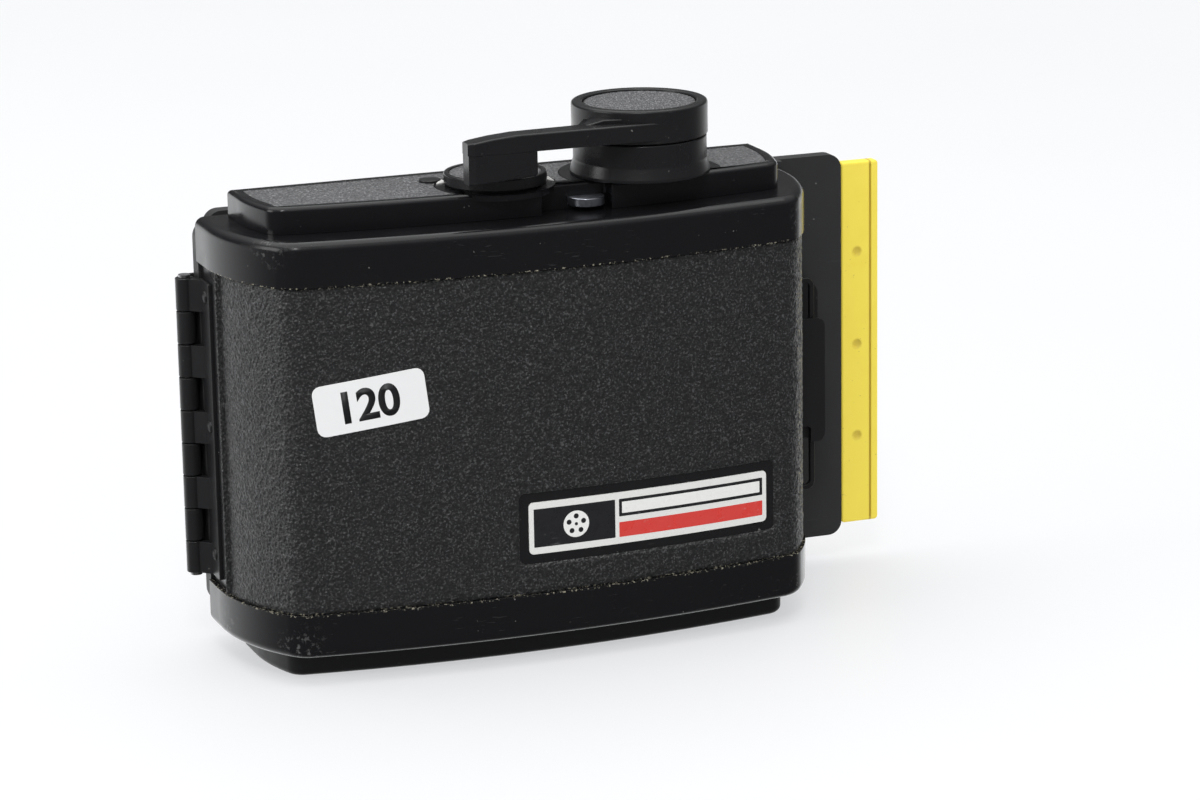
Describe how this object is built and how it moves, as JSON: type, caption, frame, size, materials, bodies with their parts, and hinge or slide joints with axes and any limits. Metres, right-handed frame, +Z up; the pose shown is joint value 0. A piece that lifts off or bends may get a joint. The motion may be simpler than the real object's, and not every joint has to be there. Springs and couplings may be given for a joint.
{
  "type": "roll film holder",
  "caption": "Lever-wind roll-film holder for a press camera: bowed case with a hinged, latched camera plate, film gate, dark slide, film carrier, spools, winding gears and a frame counter.",
  "frame": {"origin": "middle of the foot's underside, below the middle of the case's width", "axes": "+Z up through the case towards the winder, +Y towards the camera that the holder fits, +X towards the dark slide's handle"},
  "size_m": [0.1812, 0.053, 0.1278],
  "materials": {
    "sheet_black": "satin black enamel over sheet metal",
    "cast_black": "semi-gloss black enamel with light scuffs",
    "leatherette": "pebbled black leatherette",
    "spring_steel": "plain spring steel",
    "badge_metal": "bright metal with printed panels",
    "paper_label": "white label stock",
    "hinge_black": "satin black enamel",
    "steel": "turned steel",
    "carrier_grey": "dark grey anodised finish",
    "brass": "cut brass",
    "plate_black": "matt black enamel",
    "felt": "black felt",
    "slide_dark": "dark anodised sheet",
    "yellow_plastic": "warm yellow moulded plastic",
    "tab_metal": "grey metallic enamel",
    "lever_black": "semi-gloss black",
    "spool_plastic": "dark moulded plastic",
    "roller_rubber": "fine black rubber"
  },
  "bodies": {
    "holder": {"tub": "sheet_black", "top_cap": "cast_black", "bottom_cap": "cast_black", "leather_wrap": "leatherette", "top_cover": "cast_black", "top_inlays": "leatherette", "foot_cover": "cast_black", "winder_boss": "cast_black", "return_spring": "spring_steel", "name_badge": "badge_metal", "number_sticker": "paper_label", "case_leaf": "hinge_black", "hinge_pin": "steel", "leaf_rivets": "hinge_black", "latch_track": "hinge_black", "film_carrier": "carrier_grey", "gear_plate": "brass", "frame_posts": "steel", "mechanism_screws": "steel", "gear_studs": "steel", "index_marks": "badge_metal", "supply_spring": "spring_steel", "takeup_spring": "spring_steel", "pressure_springs": "spring_steel"},
    "front_plate": {"door_frame": "sheet_black", "door_leaf": "hinge_black", "gate_frame": "carrier_grey", "camera_plate": "plate_black", "light_trap": "felt", "keeper_plate": "hinge_black", "plate_screws": "steel"},
    "dark_slide": {"slide_sheet": "slide_dark", "slide_handle": "yellow_plastic", "slide_rivets": "yellow_plastic"},
    "latch": {"latch_plate": "hinge_black"},
    "release": {"release_tab": "tab_metal"},
    "lever": {"wind_lever": "lever_black", "grip_block": "lever_black", "hub_inlay": "leatherette", "lever_shaft": "steel", "pawl_carrier": "steel"},
    "drive_pawl": {"drive_pawl": "steel"},
    "winding_wheel": {"winding_gear": "brass", "ratchet_wheel": "steel"},
    "takeup": {"takeup_gear": "brass", "takeup_key": "steel", "takeup_spool": "spool_plastic"},
    "counter": {"counter_dial": "lever_black", "dial_inlay": "leatherette", "dial_gear": "brass"},
    "idler": {"idler_gear": "brass"},
    "metering": {"metering_roller": "roller_rubber", "roller_shaft": "steel"},
    "guide": {"guide_roller": "steel"},
    "supply_pin": {"supply_pin": "steel"},
    "takeup_pin": {"takeup_pin": "steel"},
    "pressure": {"pressure_plate": "steel"},
    "stop_pawl": {"stop_pawl": "steel"}
  },
  "joints": [
    {"name": "door_swing", "type": "hinge", "parent": "holder", "child": "front_plate", "pos_m": [-0.0755, 0.022, 0.0556], "axis": [0, 0, 1], "range_deg": [0, 120]},
    {"name": "slide_pull", "type": "slide", "parent": "front_plate", "child": "dark_slide", "axis": [1, 0, 0], "range_m": [0, 0.118]},
    {"name": "latch_lift", "type": "slide", "parent": "holder", "child": "latch", "axis": [0, 0, 1], "range_m": [0, 0.005]},
    {"name": "release_push", "type": "slide", "parent": "holder", "child": "release", "axis": [-1, 0, 0], "range_m": [0, 0.005], "stiffness_N_per_m": 150, "springref_m": -0.001},
    {"name": "lever_wind", "type": "hinge", "parent": "holder", "child": "lever", "pos_m": [0.0292, -0.00202, 0.12], "axis": [0, 0, 1], "range_deg": [0, 160], "stiffness_Nm_per_rad": 0.01, "springref_deg": -28.65},
    {"name": "drive_pawl_lift", "type": "hinge", "parent": "lever", "child": "drive_pawl", "pos_m": [0.01689, 0.00015, 0.09675], "axis": [0, 0, -1], "range_deg": [0, 9], "stiffness_Nm_per_rad": 0.0005, "springref_deg": -17.19},
    {"name": "winding_spin", "type": "hinge", "parent": "holder", "child": "winding_wheel", "pos_m": [0.0292, -0.00202, 0.095], "axis": [0, 0, 1], "range_deg": [0, 160]},
    {"name": "takeup_spin", "type": "hinge", "parent": "holder", "child": "takeup", "pos_m": [0.0533, 0.0018, 0.095], "axis": [0, 0, 1], "range_deg": [-305, 0]},
    {"name": "counter_turn", "type": "hinge", "parent": "holder", "child": "counter", "pos_m": [-0.0068, -0.00202, 0.11], "axis": [0, 0, 1], "continuous": true},
    {"name": "idler_spin", "type": "hinge", "parent": "holder", "child": "idler", "pos_m": [-0.03017, 0.00627, 0.099], "axis": [0, 0, 1], "continuous": true},
    {"name": "metering_spin", "type": "hinge", "parent": "holder", "child": "metering", "pos_m": [-0.04, 0.0168, 0.0556], "axis": [0, 0, 1], "continuous": true},
    {"name": "guide_spin", "type": "hinge", "parent": "holder", "child": "guide", "pos_m": [0.04, 0.0168, 0.0556], "axis": [0, 0, 1], "continuous": true},
    {"name": "supply_pin_lift", "type": "slide", "parent": "holder", "child": "supply_pin", "axis": [0, 0, 1], "range_m": [0, 0.0034], "stiffness_N_per_m": 400, "springref_m": -0.001, "deforming": ["supply_spring"]},
    {"name": "takeup_pin_drop", "type": "slide", "parent": "holder", "child": "takeup_pin", "axis": [0, 0, -1], "range_m": [0, 0.0034], "stiffness_N_per_m": 400, "springref_m": -0.001, "deforming": ["takeup_spring"]},
    {"name": "pressure_press", "type": "slide", "parent": "holder", "child": "pressure", "axis": [0, -1, 0], "range_m": [0, 0.0012], "stiffness_N_per_m": 400, "springref_m": -0.001, "deforming": ["pressure_springs"]},
    {"name": "stop_pawl_lift", "type": "hinge", "parent": "holder", "child": "stop_pawl", "pos_m": [0.01188, 0.00798, 0.09675], "axis": [0, 0, 1], "range_deg": [0, 8], "stiffness_Nm_per_rad": 0.0005, "springref_deg": -17.19}
  ],
  "couplings": [
    {"joint": "winding_spin", "follows": "lever_wind", "ratio": 1},
    {"joint": "takeup_spin", "follows": "lever_wind", "ratio": -1.9048},
    {"joint": "idler_spin", "follows": "counter_turn", "ratio": -1.3846},
    {"joint": "metering_spin", "follows": "counter_turn", "ratio": 3.6}
  ]
}
